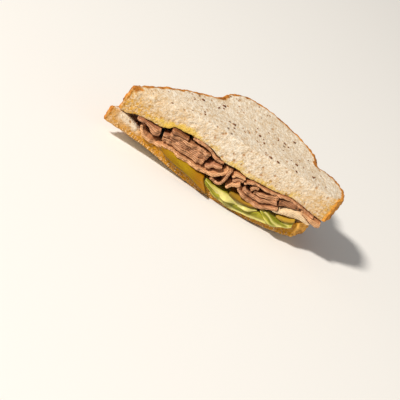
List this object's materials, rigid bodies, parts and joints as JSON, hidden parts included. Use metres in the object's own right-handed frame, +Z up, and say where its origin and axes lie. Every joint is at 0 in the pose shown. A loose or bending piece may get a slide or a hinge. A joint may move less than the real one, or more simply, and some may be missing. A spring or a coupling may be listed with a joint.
{
  "type": "half roast beef sandwich",
  "caption": "Half of a sliced-bread sandwich, cut corner to corner, with folded roast beef, lettuce and pickle slices showing along the cut.",
  "frame": {"origin": "on the surface that the sandwich lies on, under the middle of its bounding box", "axes": "+X along the cut from the narrow corner to the wide one, +Y from the cut face back to the crust corner, +Z up"},
  "size_m": [0.1559, 0.0873, 0.0445],
  "materials": {
    "bread": "matte",
    "beef": "satin",
    "pickle": "glossy",
    "lettuce": "satin"
  },
  "bodies": {
    "root": {"bread_lower": "bread", "bread_upper": "bread", "beef_left_curl": "beef", "beef_long_under": "beef", "beef_stack_wrap": "beef", "beef_stack_low": "beef", "beef_stack_high": "beef", "beef_flap": "beef", "beef_roof_left": "beef", "beef_wedge": "beef", "beef_loop": "beef", "beef_petal": "beef", "beef_petal_inner": "beef", "beef_crest": "beef", "beef_right_under": "beef", "beef_mid_low": "beef", "beef_mid_high": "beef", "beef_slab_right": "beef", "beef_pale_slab": "beef", "beef_upright_bit": "beef", "beef_tail": "beef", "beef_roof_right": "beef", "pickle_left": "pickle", "pickle_middle": "pickle", "pickle_right": "pickle", "lettuce_lower": "lettuce", "lettuce_upper": "lettuce", "lettuce_right": "lettuce"}
  },
  "joints": []
}
